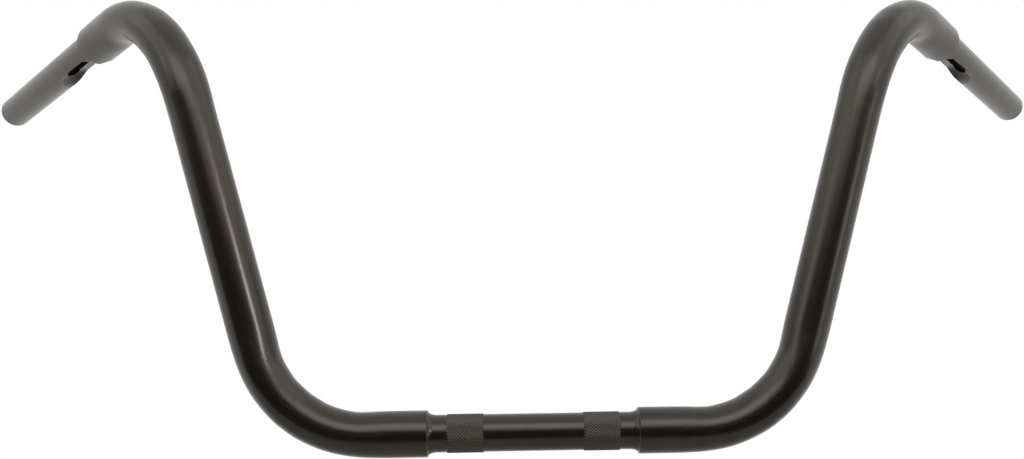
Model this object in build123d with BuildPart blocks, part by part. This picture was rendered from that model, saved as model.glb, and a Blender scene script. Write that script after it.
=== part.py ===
"""Ape hanger handlebar, welded up from tubes of two sizes.

The origin is the middle of the clamp section, on its axis. X runs across the bike, +X to the rider's
left, +Y back to the rider and +Z up. Left and right are the rider's. All sizes are in millimetres.
"""
import math
import os

from build123d import *

# Tube stock
slim_diameter = 25.4        # clamp section and grips
slim_wall = 2.4
fat_diameter = 31.75        # risers
fat_wall = 3.175
sleeve_clearance = 0.2      # radial, between a slim tube's turned spigot and the riser's bore
sleeve_depth = 25.4         # how far a spigot reaches into a riser

# Course of the left riser, from the clamp section out to the grip
shoulder_span = 143.0       # between the two cut ends of the risers
base_run = 41.0             # straight, beside the clamp section
lower_bend_radius = 79.0    # on the tube's axis
riser_angle = 74.5          # above the clamp section's axis
riser_run = 182.0           # straight, between the bends
upper_bend_radius = 85.0
grip_sweep = 52.5           # back from straight out to the side
grip_drop = 5.0             # below level
fat_end_run = 46.0          # straight, up to the grip
rim_round = 1.4             # on the riser's cut ends

# A bent tube is a little flat in the plane of its bend, and wide across it
flattening = 0.05           # of the diameter, lost one way and gained the other
flattening_lead = 15.0      # how far it fades out along the straight runs

# Knurled clamping bands, as plain raised bands
band_spacing = 93.0
band_width = 25.4
band_height = 0.2
band_chamfer = 0.15

# Grip tube beyond the riser
grip_length = 210.0
grip_end_chamfer = 0.8

# Dimple pressed under the joint with a round-nosed die, and the wiring slot through its floor
dimple_roll = 24.0          # from straight down towards the rider
dimple_depth = 8.7          # below the grip tube
die_radius = 25.0           # across the grip
dimple_reach = 10.5         # back from the riser's end face, where the die first bites
dimple_ramp_in = 30.0
dimple_floor = 36.5
dimple_ramp_out = 17.0      # up to the tail
dimple_tail = 14.0          # shallow run-out along the grip
dimple_tail_depth = 2.6     # where the tail starts
dimple_brim = 0.3           # height above each tube at which the ramps run level
slot_start = 12.0           # from the riser's end face
slot_length = 54.0
slot_width = 10.0

# Weld fillets at the four steps
weld_length = 4.5           # along the slim tube
weld_height = 1.7           # up the riser's end face
weld_hollow = 0.35          # sag of the concave face below straight
weld_toe = 0.1

slim_radius = slim_diameter / 2
slim_bore_radius = slim_radius - slim_wall
fat_radius = fat_diameter / 2
fat_bore_radius = fat_radius - fat_wall
spigot_radius = fat_bore_radius - sleeve_clearance
die_axis_height = slim_radius - dimple_depth + die_radius

shoulder = shoulder_span / 2
base_direction = Vector(1, 0, 0)
riser_direction = Vector(math.cos(math.radians(riser_angle)), 0, math.sin(math.radians(riser_angle)))
grip_level = math.cos(math.radians(grip_drop))
grip_direction = Vector(
    grip_level * math.cos(math.radians(grip_sweep)),
    grip_level * math.sin(math.radians(grip_sweep)),
    -math.sin(math.radians(grip_drop)),
)


def corner_setback(turn, radius):
    """Distance from a bend's corner to where its arc starts."""
    return radius * math.tan(math.radians(turn / 2))


lower_setback = corner_setback(riser_angle, lower_bend_radius)
upper_setback = corner_setback(riser_direction.get_angle(grip_direction), upper_bend_radius)
riser_start = Vector(shoulder, 0, 0)
lower_arc_start = riser_start + base_direction * base_run
lower_arc_end = lower_arc_start + (base_direction + riser_direction) * lower_setback
upper_arc_start = lower_arc_end + riser_direction * riser_run
upper_arc_end = upper_arc_start + (riser_direction + grip_direction) * upper_setback
grip_step = upper_arc_end + grip_direction * fat_end_run

# The grip's own directions: straight down, square to the grip, and the way the dimple faces
plumb = Vector(0, 0, -1)
grip_down = (plumb - grip_direction * plumb.dot(grip_direction)).normalized()
grip_inward = grip_direction.cross(grip_down)
dimple_facing = (
    grip_down * math.cos(math.radians(dimple_roll)) + grip_inward * math.sin(math.radians(dimple_roll))
)
grip_section = Plane(origin=grip_step, x_dir=dimple_facing, z_dir=grip_direction)
grip_side = Plane(origin=grip_step, x_dir=grip_direction, z_dir=grip_direction.cross(dimple_facing))
die_axis = Axis(grip_step + dimple_facing * die_axis_height, grip_direction)


def ring(radius, bore_radius, share=0):
    """Section of a tube, widened along x and narrowed along y by a share of its diameter."""
    widening = radius * share
    Ellipse(radius + widening, radius - widening)
    Ellipse(bore_radius + widening, bore_radius - widening, mode=Mode.SUBTRACT)


def bend_stations(arc_start, way_in, way_out, radius):
    """Section planes along a bend, with x on the bend's own axis, and the flattening at each."""
    turn = way_in.get_angle(way_out)
    bend_axis = way_in.cross(way_out).normalized()
    centre = arc_start + bend_axis.cross(way_in) * radius
    arc_length = radius * math.radians(turn)
    lead_steps = [flattening_lead * step / 3 for step in (-3, -2, -1)]
    arc_steps = [arc_length * step / 8 for step in range(9)]
    stations = []
    for distance in lead_steps + arc_steps + [arc_length - step for step in reversed(lead_steps)]:
        along = min(max(distance, 0), arc_length)
        spin = math.degrees(along / radius)
        tangent = way_in.rotate(Axis((0, 0, 0), bend_axis), spin)
        place = centre + (arc_start - centre).rotate(Axis((0, 0, 0), bend_axis), spin)
        place += tangent * (distance - along)
        inside = min(distance, arc_length - distance) + flattening_lead
        rise = min(inside / (2 * flattening_lead), 1)
        share = flattening * rise * rise * (3 - 2 * rise)
        stations.append((Plane(origin=place, x_dir=bend_axis, z_dir=tangent), share))
    return stations


def dimple_outline(inset):
    """Half section of the pressing die on the grip_side plane, sunk towards the grip's axis by inset."""
    start = -dimple_reach
    floor_start = start + dimple_ramp_in
    floor_end = floor_start + dimple_floor
    tail_start = floor_end + dimple_ramp_out
    end = tail_start + dimple_tail
    start_height = fat_radius + dimple_brim - inset
    floor_height = slim_radius - dimple_depth - inset
    tail_height = slim_radius - dimple_tail_depth - inset
    end_height = slim_radius + dimple_brim - inset
    level = (1, 0)
    with BuildLine() as outline:
        Spline((start, start_height), (floor_start, floor_height), tangents=(level, level))
        Line((floor_start, floor_height), (floor_end, floor_height))
        Spline(
            (floor_end, floor_height), (tail_start, tail_height), (end, end_height), tangents=(level, level)
        )
        Polyline((end, end_height), (end, die_axis_height), (start, die_axis_height), (start, start_height))
    make_face(outline.edges())


def weld_outline():
    """Half section of a weld fillet: x along the slim tube from the riser's end face, y the radius."""
    toe = slim_radius + weld_toe
    crown = slim_radius + weld_height
    middle = (weld_length / 2, (toe + crown) / 2 - weld_hollow)
    with BuildLine() as outline:
        Polyline((weld_length, toe), (weld_length, spigot_radius), (0, spigot_radius), (0, crown))
        ThreePointArc((0, crown), middle, (weld_length, toe))
    make_face(outline.edges())


# Centre tube
centre_reach = shoulder + sleeve_depth
with BuildPart() as centre_tube:
    with BuildSketch(Plane.YZ):
        Circle(spigot_radius)
    extrude(amount=centre_reach, both=True)
    with BuildSketch(Plane.YZ):
        Circle(slim_radius)
    extrude(amount=shoulder - weld_length, both=True)
    for side in (-1, 1):
        with BuildSketch(Plane.YZ.offset(side * band_spacing / 2)):
            Circle(slim_radius + band_height)
        extrude(amount=band_width / 2, both=True)
    band_rims = centre_tube.edges().filter_by(GeomType.CIRCLE).group_by(SortBy.RADIUS)[-1]
    chamfer(band_rims, band_chamfer)
    with BuildSketch(Plane.YZ):
        Circle(slim_bore_radius)
    extrude(amount=centre_reach, both=True, mode=Mode.SUBTRACT)

# Pressing die under the left grip's joint: one round solid, which the riser, weld and grip all yield to
with BuildPart() as dimple_die:
    with BuildSketch(grip_side):
        dimple_outline(0)
    revolve(axis=die_axis)

# Riser tube, left: three straight runs and two flattened bends
straight_runs = (
    (riser_start, base_direction, base_run - flattening_lead),
    (lower_arc_end + riser_direction * flattening_lead, riser_direction, riser_run - 2 * flattening_lead),
    (upper_arc_end + grip_direction * flattening_lead, grip_direction, fat_end_run - flattening_lead),
)
bends = (
    (lower_arc_start, base_direction, riser_direction, lower_bend_radius),
    (upper_arc_start, riser_direction, grip_direction, upper_bend_radius),
)
with BuildPart() as riser_tube:
    for run_start, run_direction, run_length in straight_runs:
        with BuildSketch(Plane(origin=run_start, z_dir=run_direction)):
            Circle(fat_radius)
            Circle(fat_bore_radius, mode=Mode.SUBTRACT)
        extrude(amount=run_length)
    cut_faces = riser_tube.faces().filter_by(GeomType.PLANE)
    end_faces = cut_faces.sort_by(Axis(riser_start, base_direction))[0], cut_faces.sort_by(Axis.Y)[-1]
    for end_face in end_faces:
        fillet(end_face.edges().sort_by(SortBy.RADIUS)[-1], rim_round)
    for bend in bends:
        for section_plane, share in bend_stations(*bend):
            with BuildSketch(section_plane):
                ring(fat_radius, fat_bore_radius, share)
        loft()
    add(dimple_die.part, mode=Mode.SUBTRACT)

# Grip tube, left: first the hollow inside it, which the pressed dimple bulges into
with BuildPart() as grip_hollow:
    with BuildSketch(grip_section.offset(-sleeve_depth)):
        Circle(slim_bore_radius)
    extrude(amount=sleeve_depth + grip_length)
    with BuildSketch(grip_side):
        dimple_outline(slim_wall)
    revolve(axis=die_axis, mode=Mode.SUBTRACT)

with BuildPart() as grip_tube:
    with BuildSketch(grip_section.offset(-sleeve_depth)):
        Circle(spigot_radius)
    extrude(amount=sleeve_depth + weld_length)
    with BuildSketch(grip_section.offset(weld_length)):
        Circle(slim_radius)
    extrude(amount=grip_length - weld_length)
    outer_end = grip_tube.faces().sort_by(Axis(grip_step, grip_direction))[-1]
    chamfer(outer_end.edges(), grip_end_chamfer)
    add(grip_hollow.part, mode=Mode.SUBTRACT)
    add(dimple_die.part, mode=Mode.SUBTRACT)
    slot_middle = grip_step + grip_direction * (slot_start + slot_length / 2)
    with BuildSketch(Plane(origin=slot_middle, x_dir=grip_direction, z_dir=dimple_facing)):
        SlotOverall(slot_length, slot_width)
    extrude(amount=slim_radius, mode=Mode.SUBTRACT)

# Weld fillets, left: one against the riser's lower end, one against its upper end
with BuildPart() as clamp_weld:
    with BuildSketch(Plane(origin=riser_start, x_dir=-base_direction, z_dir=(0, 1, 0))):
        weld_outline()
    revolve(axis=Axis(riser_start, base_direction))

with BuildPart() as grip_weld:
    with BuildSketch(grip_side):
        weld_outline()
    revolve(axis=Axis(grip_step, grip_direction))
    add(dimple_die.part, mode=Mode.SUBTRACT)

# The left pieces and their mirror images, each written as a piece of its own
os.makedirs("parts", exist_ok=True)
centre_tube.part.label = "centre_tube"
export_step(centre_tube.part, "parts/centre_tube.step")

left_pieces = {
    "riser_tube": riser_tube,
    "grip_tube": grip_tube,
    "clamp_weld": clamp_weld,
    "grip_weld": grip_weld,
}
for name, left_piece in left_pieces.items():
    left_piece.part.label = f"left_{name}"
    export_step(left_piece.part, f"parts/left_{name}.step")
    with BuildPart() as right_piece:
        mirror(left_piece.part, about=Plane.YZ)
    right_piece.part.label = f"right_{name}"
    export_step(right_piece.part, f"parts/right_{name}.step")
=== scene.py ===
"""Ape hanger handlebar: five tubes and their welds under one satin black coat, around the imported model.

The frame is the part's own, in metres: the origin is the middle of the clamp section, X runs across the
bike, +Y back to the rider and +Z up. The photograph is taken from the front of the bike.
"""
import math

import bpy
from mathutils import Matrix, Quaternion, Vector


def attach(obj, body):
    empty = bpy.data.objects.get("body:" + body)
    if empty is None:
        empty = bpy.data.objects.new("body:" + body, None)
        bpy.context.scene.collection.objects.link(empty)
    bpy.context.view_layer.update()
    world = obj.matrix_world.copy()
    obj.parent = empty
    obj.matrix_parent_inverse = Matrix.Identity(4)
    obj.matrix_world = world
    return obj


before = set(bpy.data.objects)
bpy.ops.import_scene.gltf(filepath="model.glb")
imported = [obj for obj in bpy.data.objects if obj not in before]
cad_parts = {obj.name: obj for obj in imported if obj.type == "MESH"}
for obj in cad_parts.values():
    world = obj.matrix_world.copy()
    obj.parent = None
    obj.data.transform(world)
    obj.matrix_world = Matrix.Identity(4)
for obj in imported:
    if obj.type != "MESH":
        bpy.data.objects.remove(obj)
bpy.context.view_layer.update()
scene = bpy.context.scene
scene.view_settings.view_transform = "Standard"

# Camera. It stands in front of the bike, under the grips, and looks slightly up at the bar, which fills
# the frame from grip to grip.
picture_width, picture_height = 1024, 459
focal_pixels = 1191.25
sight_pixel = (553.1, 234.8)      # where the line of sight meets the picture
camera_place = Vector((-0.02215, -0.82523, 0.05087))
camera_aim = Vector((0.01539, 0.0, 0.13562))
camera_roll = -0.83               # degrees
camera_near = 0.01                # m, nothing closer to it is drawn

camera = bpy.data.objects.new("camera", bpy.data.cameras.new("camera"))
scene.collection.objects.link(camera)
camera.data.sensor_fit = "HORIZONTAL"
camera.data.lens = camera.data.sensor_width * focal_pixels / picture_width
camera.data.shift_x = (picture_width / 2 - sight_pixel[0]) / picture_width
camera.data.shift_y = (sight_pixel[1] - picture_height / 2) / picture_width
camera.data.clip_start = camera_near
camera.location = camera_place
camera.rotation_mode = "QUATERNION"
camera.rotation_quaternion = (
    (camera_aim - camera_place).to_track_quat("-Z", "Y")
    @ Quaternion((0, 0, 1), math.radians(camera_roll))
)
scene.camera = camera


# Tubes and welds. Steel tubes of two sizes, bent cold, sleeved into each other and welded, then blasted
# and coated in one go, so every surface carries the same satin black powder coat. The solids have their
# shapes, and the coat gives them their finish.
def linear(hex_colour):
    """The linear colour, with alpha, of an sRGB hex value."""
    parts = [int(hex_colour[i:i + 2], 16) / 255 for i in (1, 3, 5)]
    return tuple(c / 12.92 if c <= 0.04045 else ((c + 0.055) / 1.055) ** 2.4 for c in parts) + (1.0,)


def add(tree, kind, inputs=None, **settings):
    """Adds a node. Each of inputs, by socket name or place, is a value or the output that feeds it."""
    node = tree.nodes.new(kind)
    for name, value in settings.items():
        setattr(node, name, value)
    for socket, value in (inputs or {}).items():
        if isinstance(value, bpy.types.NodeSocket):
            tree.links.new(value, node.inputs[socket])
        else:
            node.inputs[socket].default_value = value
    return node


# Polyester powder coat, sprayed on as dust and baked: near black with a warm cast, satin, and slightly
# wavy like the skin of an orange, so that reflections are soft and their edges uneven.
coat_dark, coat_light = "#15120f", "#1c1916"
coat_dull, coat_bright = 0.265, 0.225   # roughness of the dark and the light patches
coat_ior = 1.5
coat_sheen = "#fff5e9"                  # of what it mirrors head on
coat_mottle = 0.014                     # m, across a patch that came out a shade lighter
coat_mottle_edge = (0.3, 0.7)           # of the noise, where a patch is all dark and all light
coat_peel = 0.0016                      # m, from wave to wave of the orange peel
coat_peel_height = 0.000004             # m
coat_grain = 0.0004                     # m, across a grain that didn't flow out
coat_grain_height = 0.0000006           # m

coat = bpy.data.materials.new("satin_black_powder_coat")
coat.use_nodes = True
tree = coat.node_tree
tree.nodes.clear()
place = add(tree, "ShaderNodeTexCoord").outputs["Object"]
mottle = add(tree, "ShaderNodeTexNoise", {"Vector": place, "Scale": 1 / coat_mottle, "Detail": 3.0})
patch = add(tree, "ShaderNodeMapRange", {
    0: mottle.outputs[0], 1: coat_mottle_edge[0], 2: coat_mottle_edge[1],
})
shade = add(tree, "ShaderNodeMix", {
    0: patch.outputs[0], 6: linear(coat_dark), 7: linear(coat_light),
}, data_type="RGBA")
gloss = add(tree, "ShaderNodeMapRange", {0: patch.outputs[0], 3: coat_dull, 4: coat_bright})
peel = add(tree, "ShaderNodeTexNoise", {"Vector": place, "Scale": 1 / coat_peel, "Detail": 1.0})
grain = add(tree, "ShaderNodeTexNoise", {"Vector": place, "Scale": 1 / coat_grain, "Detail": 0.0})
waves = add(tree, "ShaderNodeBump", {
    "Strength": 1.0, "Distance": coat_peel_height, "Height": peel.outputs[0],
})
surface = add(tree, "ShaderNodeBump", {
    "Strength": 1.0, "Distance": coat_grain_height, "Height": grain.outputs[0],
    "Normal": waves.outputs[0],
})
shader = add(tree, "ShaderNodeBsdfPrincipled", {
    "Base Color": shade.outputs[2], "Roughness": gloss.outputs[0], "IOR": coat_ior,
    "Specular Tint": linear(coat_sheen), "Normal": surface.outputs[0],
})
add(tree, "ShaderNodeOutputMaterial", {"Surface": shader.outputs[0]})

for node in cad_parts.values():
    for slot in node.material_slots:
        slot.material = coat

# Knurling on the clamp section. A pair of crossed rollers pressed two bands of small diamonds into the
# tube, for the risers' clamps to bite on. The coat lies over them.
knurl_sizes = {
    "Radius": 0.01292,            # m, just over the band's face
    "Height": 0.00033,            # m, of a diamond
    "Round": 40,                  # diamonds in one ring
    "Rings": 22,                  # half diamonds along a band
    "Width": 0.0251,              # m, of a band
    "Spacing": 0.093,             # m, between the bands' middles
}
knurl_end = 0.499                 # of the width from a band's middle, and no tips further out
knurl_seam = 0.00001              # m, points this close are one

# The same powder coat, but thin and dry over the diamonds, so it mirrors less. Its colour is painted
# shade in the grooves and a painted highlight towards the tips, so the diamonds stand out under any light.
# painted shade for the grooves and painted highlight for the tips
groove_painted_shade, tip_painted_highlight = "#0e0c0a", "#554f45"
dry_roughness = 0.43

dry_coat = bpy.data.materials.new("dry_black_powder_coat")
dry_coat.use_nodes = True
tree = dry_coat.node_tree
tree.nodes.clear()
place = add(tree, "ShaderNodeTexCoord").outputs["Object"]
from_axis = add(tree, "ShaderNodeVectorMath", {0: place, 1: (0, 1, 1)}, operation="MULTIPLY")
distance = add(tree, "ShaderNodeVectorMath", {0: from_axis.outputs[0]}, operation="LENGTH")
# Painted shade and painted highlight: darker down in the grooves, lighter out at the tips, by the distance
# from the tube's axis.
rise = add(tree, "ShaderNodeMapRange", {
    0: distance.outputs["Value"],
    1: knurl_sizes["Radius"], 2: knurl_sizes["Radius"] + knurl_sizes["Height"],
})
shade = add(tree, "ShaderNodeMix", {
    0: rise.outputs[0], 6: linear(groove_painted_shade), 7: linear(tip_painted_highlight),
}, data_type="RGBA")
shader = add(tree, "ShaderNodeBsdfPrincipled", {
    "Base Color": shade.outputs[2], "Roughness": dry_roughness, "IOR": coat_ior,
    "Specular Tint": linear(coat_sheen),
})
add(tree, "ShaderNodeOutputMaterial", {"Surface": shader.outputs[0]})

knurl = bpy.data.node_groups.new("knurl", "GeometryNodeTree")
sockets = {}
for name, value in knurl_sizes.items():
    kind = "NodeSocketInt" if isinstance(value, int) else "NodeSocketFloat"
    sockets[name] = knurl.interface.new_socket(name, in_out="INPUT", socket_type=kind).identifier
knurl.interface.new_socket("Geometry", in_out="OUTPUT", socket_type="NodeSocketGeometry")
size = add(knurl, "NodeGroupInput").outputs

# A flat grid, twice as fine as the diamonds: along x the band's width, along y once round in radians.
columns = add(knurl, "ShaderNodeMath", {0: size["Rings"], 1: 1.0}, operation="ADD")
rows = add(knurl, "ShaderNodeMath", {0: size["Round"], 1: 2.0, 2: 1.0}, operation="MULTIPLY_ADD")
sheet = add(knurl, "GeometryNodeMeshGrid", {
    "Size X": size["Width"], "Size Y": math.tau,
    "Vertices X": columns.outputs[0], "Vertices Y": rows.outputs[0],
})

# Every second point is a diamond's tip, except at the band's two ends.
spot = add(knurl, "ShaderNodeSeparateXYZ", {0: add(knurl, "GeometryNodeInputPosition").outputs[0]})
count = add(knurl, "GeometryNodeInputIndex")
odd = add(knurl, "ShaderNodeMath", {0: count.outputs[0], 1: 2.0}, operation="FLOORED_MODULO")
from_middle = add(knurl, "ShaderNodeMath", {0: spot.outputs["X"]}, operation="ABSOLUTE")
near_end = add(knurl, "ShaderNodeMath", {0: size["Width"], 1: knurl_end}, operation="MULTIPLY")
inside = add(knurl, "ShaderNodeMath", {
    0: from_middle.outputs[0], 1: near_end.outputs[0],
}, operation="LESS_THAN")
tip = add(knurl, "ShaderNodeMath", {0: odd.outputs[0], 1: inside.outputs[0]}, operation="MULTIPLY")

# The sheet is rolled up with its tips standing out, and its seam is closed.
radius = add(knurl, "ShaderNodeMath", {
    0: tip.outputs[0], 1: size["Height"], 2: size["Radius"],
}, operation="MULTIPLY_ADD")
sine = add(knurl, "ShaderNodeMath", {0: spot.outputs["Y"]}, operation="SINE")
cosine = add(knurl, "ShaderNodeMath", {0: spot.outputs["Y"]}, operation="COSINE")
depth = add(knurl, "ShaderNodeMath", {0: sine.outputs[0], 1: radius.outputs[0]}, operation="MULTIPLY")
height = add(knurl, "ShaderNodeMath", {0: cosine.outputs[0], 1: radius.outputs[0]}, operation="MULTIPLY")
rolled_spot = add(knurl, "ShaderNodeCombineXYZ", {
    0: spot.outputs["X"], 1: depth.outputs[0], 2: height.outputs[0],
})
rolled = add(knurl, "GeometryNodeSetPosition", {
    "Geometry": sheet.outputs["Mesh"], "Position": rolled_spot.outputs[0],
})
closed = add(knurl, "GeometryNodeMergeByDistance", {
    "Geometry": rolled.outputs[0], "Distance": knurl_seam,
})

# The shorter diagonal of each square is a groove, and the diamonds stand between the grooves.
grooved = add(knurl, "GeometryNodeTriangulate", {
    "Mesh": closed.outputs[0],
}, quad_method="SHORTEST_DIAGONAL")
first_middle = add(knurl, "ShaderNodeMath", {0: size["Spacing"], 1: -0.5}, operation="MULTIPLY")
band_spots = add(knurl, "GeometryNodeMeshLine", {
    "Count": 2,
    "Start Location": add(knurl, "ShaderNodeCombineXYZ", {0: first_middle.outputs[0]}).outputs[0],
    "Offset": add(knurl, "ShaderNodeCombineXYZ", {0: size["Spacing"]}).outputs[0],
})
bands = add(knurl, "GeometryNodeInstanceOnPoints", {
    "Points": band_spots.outputs["Mesh"], "Instance": grooved.outputs[0],
})
real = add(knurl, "GeometryNodeRealizeInstances", {0: bands.outputs[0]})
coated = add(knurl, "GeometryNodeSetMaterial", {"Geometry": real.outputs[0], "Material": dry_coat})
add(knurl, "NodeGroupOutput", {0: coated.outputs[0]})

clamp_knurl = bpy.data.objects.new("clamp_knurl", bpy.data.meshes.new("clamp_knurl"))
scene.collection.objects.link(clamp_knurl)
modifier = clamp_knurl.modifiers.new("knurl", "NODES")
modifier.node_group = knurl
for name, value in knurl_sizes.items():
    modifier[sockets[name]] = value
depsgraph = bpy.context.evaluated_depsgraph_get()
knurl_mesh = bpy.data.meshes.new_from_object(clamp_knurl.evaluated_get(depsgraph))
clamp_knurl.modifiers.clear()
clamp_knurl.data = knurl_mesh
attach(clamp_knurl, "root")

# Floor. A wide round of white paper, laid flat well below the bar. Far out it goes over into the white of
# the background, so its edge doesn't show.
floor_drop, floor_radius = -1.25, 5.0
floor_corners = 96
fade_start, fade_end = 1.6, 3.4   # m from a spot under the camera
fade_spot = (0.0, -0.8, floor_drop)
paper_colour = "#dddddb"

rim = [math.tau * i / floor_corners for i in range(floor_corners)]
floor_mesh = bpy.data.meshes.new("floor")
floor_mesh.from_pydata(
    [(floor_radius * math.cos(a), floor_radius * math.sin(a), floor_drop) for a in rim],
    [], [range(floor_corners)],
)
floor = bpy.data.objects.new("floor", floor_mesh)
scene.collection.objects.link(floor)

# Uncoated paper, matt and a little off white. Seen or mirrored from afar it is plain white.
paper = bpy.data.materials.new("white_paper")
paper.use_nodes = True
tree = paper.node_tree
tree.nodes.clear()
place = add(tree, "ShaderNodeTexCoord").outputs["Object"]
distance = add(tree, "ShaderNodeVectorMath", {0: place, 1: fade_spot}, operation="DISTANCE")
fade = add(tree, "ShaderNodeMapRange", {
    0: distance.outputs["Value"], 1: fade_start, 2: fade_end,
}, interpolation_type="SMOOTHSTEP")
path = add(tree, "ShaderNodeLightPath").outputs
mirrored = add(tree, "ShaderNodeMath", {
    0: path["Is Glossy Ray"], 1: path["Is Transmission Ray"],
}, operation="MAXIMUM")
seen = add(tree, "ShaderNodeMath", {
    0: path["Is Camera Ray"], 1: mirrored.outputs[0],
}, operation="MAXIMUM")
share = add(tree, "ShaderNodeMath", {0: fade.outputs[0], 1: seen.outputs[0]}, operation="MULTIPLY")
lit = add(tree, "ShaderNodeBsdfDiffuse", {"Color": linear(paper_colour)})
glow = add(tree, "ShaderNodeEmission", {"Color": (1, 1, 1, 1), "Strength": 1.0})
blend = add(tree, "ShaderNodeMixShader", {0: share.outputs[0], 1: lit.outputs[0], 2: glow.outputs[0]})
add(tree, "ShaderNodeOutputMaterial", {"Surface": blend.outputs[0]})
floor_mesh.materials.append(paper)

# Screen. Black cloth on the camera's side, hung lower towards both ends, and more of it laid on the floor
# in front. The tubes mirror it as the dark band down their front. No camera sees it, and the laid cloth
# takes no light from the floor.
screen_radius, bar_height = 3.3, 0.12
screen_cuts = {                   # degrees from +X: degrees above the bar, m from the bar to the laid cloth
    -168: (-20.0, 3.3), -158: (0.0, 2.9), -145: (6.0, 2.2), -132: (13.0, 1.7), -119: (21.0, 1.6),
    -104: (19.5, 1.7), -90: (15.0, 1.8), -76: (17.0, 1.8), -58: (13.5, 1.7), -47: (7.0, 1.7),
    -44: (0.0, 1.8), -39: (-6.0, 2.0), -31: (-12.0, 2.5), -20: (-20.0, 3.3),
}
laid_height = floor_drop + 0.004  # just over the paper
cloth_colour = "#0c0c0b"

# Brushed cotton, matt and nearly black, so it gives back next to no light.
cloth = bpy.data.materials.new("black_cloth")
cloth.use_nodes = True
tree = cloth.node_tree
tree.nodes.clear()
weave = add(tree, "ShaderNodeBsdfDiffuse", {"Color": linear(cloth_colour)})
add(tree, "ShaderNodeOutputMaterial", {"Surface": weave.outputs[0]})

hung_points, laid_points = [], []
for turn, (rise, reach) in screen_cuts.items():
    across, along = math.cos(math.radians(turn)), math.sin(math.radians(turn))
    top = bar_height + screen_radius * math.tan(math.radians(rise))
    hung_points += [(screen_radius * across, screen_radius * along, z) for z in (top, floor_drop)]
    laid_points += [(r * across, r * along, laid_height) for r in (screen_radius, reach)]
breadths = [(2 * i, 2 * i + 1, 2 * i + 3, 2 * i + 2) for i in range(len(screen_cuts) - 1)]
for name, points in {"hung_cloth": hung_points, "laid_cloth": laid_points}.items():
    cloth_mesh = bpy.data.meshes.new(name)
    cloth_mesh.from_pydata(points, [], breadths)
    cloth_mesh.materials.append(cloth)
    screen = bpy.data.objects.new(name, cloth_mesh)
    scene.collection.objects.link(screen)
    screen.visible_camera = False
    screen.visible_shadow = screen.visible_diffuse = name == "hung_cloth"

# Canopy. A white sheet lit from behind, hung in a half ring over the screen. Its light lies softly on the
# tubes' upper flanks. No camera sees it.
canopy_radius, canopy_strength = 3.6, 1.65
canopy_low, canopy_lift, canopy_high = 12, 27, 60   # degrees above the bar, the lift at both ends
canopy_left, canopy_right = -190, 15                # degrees from +X
canopy_middle, canopy_level = -86, 64               # degrees, the level lower edge to either side
canopy_slope = 10                                   # degrees, over which the lower edge lifts
around, upward = 36, 8                              # breadths of the sheet

canopy_points = []
for j in range(upward + 1):
    for i in range(around + 1):
        turn = canopy_left + (canopy_right - canopy_left) * i / around
        lifted = min(max((abs(turn - canopy_middle) - canopy_level) / canopy_slope, 0), 1)
        low = canopy_low + (canopy_lift - canopy_low) * lifted
        rise = math.radians(low + (canopy_high - low) * j / upward)
        turn = math.radians(turn)
        canopy_points.append((
            canopy_radius * math.cos(rise) * math.cos(turn),
            canopy_radius * math.cos(rise) * math.sin(turn),
            canopy_radius * math.sin(rise) + bar_height,
        ))
row = around + 1
canopy_mesh = bpy.data.meshes.new("canopy")
canopy_mesh.from_pydata(canopy_points, [], [
    (j * row + i, j * row + i + 1, (j + 1) * row + i + 1, (j + 1) * row + i)
    for j in range(upward) for i in range(around)
])
canopy = bpy.data.objects.new("canopy", canopy_mesh)
scene.collection.objects.link(canopy)

# Thin white cotton, which glows evenly with the light behind it.
lit_sheet = bpy.data.materials.new("lit_white_sheet")
lit_sheet.use_nodes = True
tree = lit_sheet.node_tree
tree.nodes.clear()
glow = add(tree, "ShaderNodeEmission", {"Color": (1, 1, 1, 1), "Strength": canopy_strength})
add(tree, "ShaderNodeOutputMaterial", {"Surface": glow.outputs[0]})
canopy_mesh.materials.append(lit_sheet)
canopy.visible_camera = False

# Lamps. A wide softbox over the camera, a dim one on its left and one at the bar's height on its right.
# Above that a small bright one has a honeycomb grid, which keeps its beam to the bar's far riser.
lamps = {                         # place, aim, width and height, watts, degrees across the beam
    "top_softbox": ((-0.06, -1.66, 1.45), (0, 0, 0.05), (1.7, 0.9), 7.2, 180),
    "left_softbox": ((-2.42, -1.69, 1.37), (0, 0, 0.12), (0.80, 0.80), 1.2, 180),
    "right_softbox": ((2.47, -1.62, 0.02), (0, 0, 0.12), (0.6, 0.7), 2.8, 180),
    "grid_softbox": ((1.79, -2.22, 0.95), (-0.42, 0, 0.10), (0.50, 0.36), 0.155, 14),
}
for name, (lamp_place, lamp_aim, lamp_size, watts, beam) in lamps.items():
    softbox = bpy.data.lights.new(name, "AREA")
    softbox.shape = "RECTANGLE"
    softbox.size, softbox.size_y = lamp_size
    softbox.energy = watts
    softbox.spread = math.radians(beam)
    lamp = bpy.data.objects.new(name, softbox)
    scene.collection.objects.link(lamp)
    lamp.location = lamp_place
    lamp.rotation_euler = (Vector(lamp_aim) - Vector(lamp_place)).to_track_quat("-Z", "Y").to_euler()
    lamp.visible_camera = False

# Room. Its white walls stand far off on all sides. Seen or mirrored they are plain white, and the light
# that they throw into the shadows is weaker than that.
room_fill = 0.5                   # of white

world = bpy.data.worlds.new("studio")
scene.world = world
world.use_nodes = True
tree = world.node_tree
tree.nodes.clear()
path = add(tree, "ShaderNodeLightPath").outputs
mirrored = add(tree, "ShaderNodeMath", {
    0: path["Is Glossy Ray"], 1: path["Is Transmission Ray"],
}, operation="MAXIMUM")
seen = add(tree, "ShaderNodeMath", {
    0: path["Is Camera Ray"], 1: mirrored.outputs[0],
}, operation="MAXIMUM")
fill = add(tree, "ShaderNodeBackground", {"Color": (1, 1, 1, 1), "Strength": room_fill})
white = add(tree, "ShaderNodeBackground", {"Color": (1, 1, 1, 1), "Strength": 1.0})
room = add(tree, "ShaderNodeMixShader", {0: seen.outputs[0], 1: fill.outputs[0], 2: white.outputs[0]})
add(tree, "ShaderNodeOutputWorld", {"Surface": room.outputs[0]})
